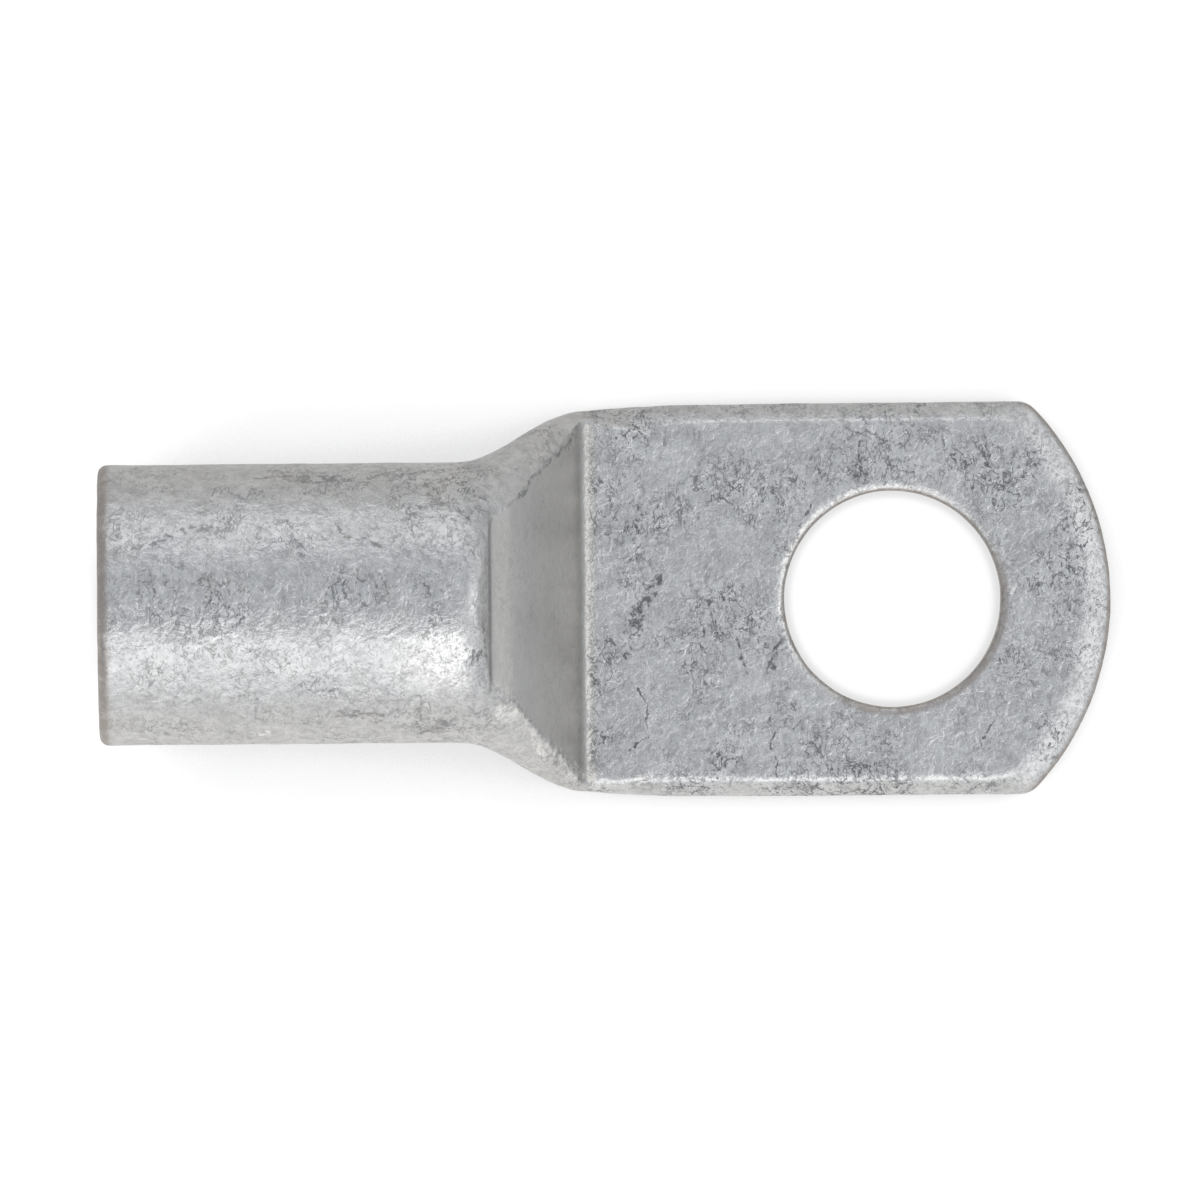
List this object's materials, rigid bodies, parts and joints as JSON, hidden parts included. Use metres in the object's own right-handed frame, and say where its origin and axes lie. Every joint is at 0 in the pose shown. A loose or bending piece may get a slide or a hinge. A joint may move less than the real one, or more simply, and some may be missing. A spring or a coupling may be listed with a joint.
{
  "type": "ring terminal",
  "caption": "Tube cable lug: an open round barrel, pressed flat into a palm with a rounded tip and one stud hole.",
  "frame": {"origin": "on the stud hole's axis, in the plane of the palm's underside", "axes": "+X from the open barrel to the palm's tip, +Y across the palm, +Z away from the surface that it is bolted to"},
  "size_m": [0.0394, 0.0154, 0.011],
  "materials": {
    "tinned_copper": "dull tin plate over copper, finely mottled"
  },
  "bodies": {
    "root": {"terminal_body": "tinned_copper"}
  },
  "joints": []
}
